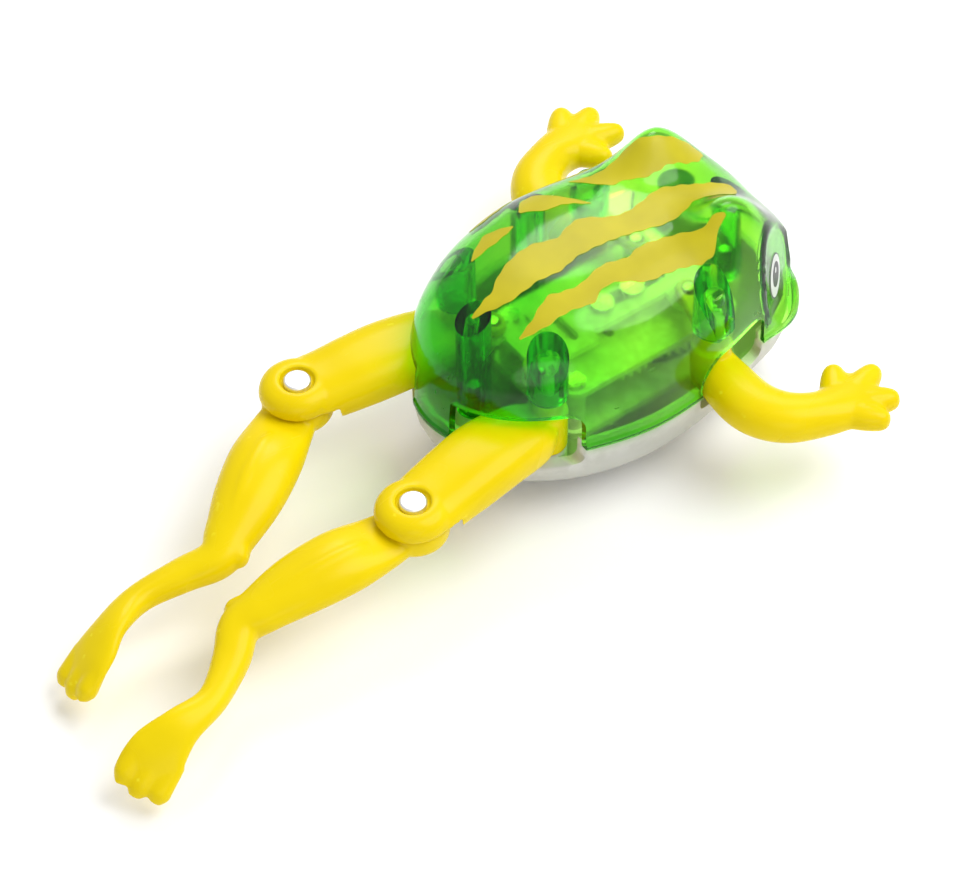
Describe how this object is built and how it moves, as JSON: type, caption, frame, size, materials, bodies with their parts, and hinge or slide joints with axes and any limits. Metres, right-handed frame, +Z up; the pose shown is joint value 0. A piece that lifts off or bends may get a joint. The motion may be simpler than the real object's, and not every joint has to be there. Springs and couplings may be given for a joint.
{
  "type": "wind-up swimming frog",
  "caption": "Wind-up swimming frog: clear green casing over a white belly, clockwork inside, and yellow arms and jointed legs that kick together.",
  "frame": {"origin": "on the table under the middle of the casing, at the centre of the belly's flat face", "axes": "+Y points from the head to the feet, +X to the frog's left, +Z up from the belly to the back"},
  "size_m": [0.0938, 0.1524, 0.0443],
  "materials": {
    "casing_green": "clear tinted gloss plastic",
    "casing_white": "moulded, satin",
    "limb_yellow": "moulded, glossy",
    "gear_white": "moulded, satin",
    "steel": "bright zinc",
    "spring_steel": "blued",
    "rivet": "dull",
    "seal": "matte"
  },
  "bodies": {
    "casing": {"top_shell": "casing_green", "bottom_shell": "casing_white", "casing_screws": "steel", "knob_seal": "seal", "mainspring": "spring_steel", "motor_base_plate": "gear_white", "motor_top_plate": "gear_white", "motor_pillars": "gear_white", "motor_screws": "steel", "yoke_guides": "steel", "second_shaft": "steel", "governor_shaft": "steel"},
    "winder": {"winding_knob": "casing_white", "winding_arbor": "steel", "ratchet_wheel": "steel"},
    "great": {"great_wheel": "gear_white", "click": "steel", "click_spring": "spring_steel"},
    "second": {"second_gear": "gear_white"},
    "crank": {"crank_shaft": "steel", "crank_gear": "gear_white", "crank_disc": "gear_white"},
    "governor": {"governor": "gear_white"},
    "yoke": {"yoke": "gear_white", "yoke_pins": "steel"},
    "thigh_right": {"thigh_right": "limb_yellow", "knee_rivet_right": "rivet"},
    "thigh_left": {"thigh_left": "limb_yellow", "knee_rivet_left": "rivet"},
    "shank_right": {"shank_right": "limb_yellow"},
    "shank_left": {"shank_left": "limb_yellow"},
    "arm_right": {"arm_right": "limb_yellow"},
    "arm_left": {"arm_left": "limb_yellow"}
  },
  "joints": [
    {"name": "hip_right", "type": "hinge", "parent": "casing", "child": "thigh_right", "pos_m": [-0.0131, 0.0192, 0.0164], "axis": [0, 0, 1], "range_deg": [0, 41.6]},
    {"name": "hip_left", "type": "hinge", "parent": "casing", "child": "thigh_left", "pos_m": [0.0131, 0.0192, 0.0164], "axis": [0, 0, 1], "range_deg": [-41.6, 0]},
    {"name": "yoke_slide", "type": "slide", "parent": "casing", "child": "yoke", "axis": [0, 1, 0], "range_m": [0, 0.00532]},
    {"name": "shoulder_right", "type": "hinge", "parent": "casing", "child": "arm_right", "pos_m": [-0.0174, -0.0122, 0.0164], "axis": [0, 0, 1], "range_deg": [0, 29.5]},
    {"name": "shoulder_left", "type": "hinge", "parent": "casing", "child": "arm_left", "pos_m": [0.0174, -0.0122, 0.0164], "axis": [0, 0, 1], "range_deg": [-29.5, 0]},
    {"name": "knee_right", "type": "hinge", "parent": "thigh_right", "child": "shank_right", "pos_m": [-0.01682, 0.04947, 0.0164], "axis": [0, 0, 1], "range_deg": [-4, 14.7]},
    {"name": "knee_left", "type": "hinge", "parent": "thigh_left", "child": "shank_left", "pos_m": [0.01682, 0.04947, 0.0164], "axis": [0, 0, 1], "range_deg": [-45.2, 4]},
    {"name": "winder_spin", "type": "hinge", "parent": "casing", "child": "winder", "pos_m": [0, -0.013, 0.0164], "axis": [0, 0, 1], "continuous": true},
    {"name": "great_spin", "type": "hinge", "parent": "casing", "child": "great", "pos_m": [0, -0.013, 0.0164], "axis": [0, 0, 1], "continuous": true},
    {"name": "second_spin", "type": "hinge", "parent": "casing", "child": "second", "pos_m": [-0.00351, -0.001, 0.0164], "axis": [0, 0, 1], "continuous": true},
    {"name": "crank_spin", "type": "hinge", "parent": "casing", "child": "crank", "pos_m": [0, 0.00889, 0.0164], "axis": [0, 0, 1], "continuous": true},
    {"name": "governor_spin", "type": "hinge", "parent": "casing", "child": "governor", "pos_m": [0.00719, 0.00539, 0.0164], "axis": [0, 0, 1], "continuous": true}
  ],
  "couplings": [
    {"joint": "hip_left", "follows": "hip_right", "ratio": -1},
    {"joint": "yoke_slide", "follows": "hip_right", "m_per_rad": 0.0073268},
    {"joint": "shoulder_right", "follows": "hip_right", "ratio": 0.709},
    {"joint": "shoulder_left", "follows": "hip_right", "ratio": -0.709},
    {"joint": "second_spin", "follows": "great_spin", "ratio": -4},
    {"joint": "crank_spin", "follows": "great_spin", "ratio": 12.8},
    {"joint": "governor_spin", "follows": "great_spin", "ratio": -38.4}
  ]
}
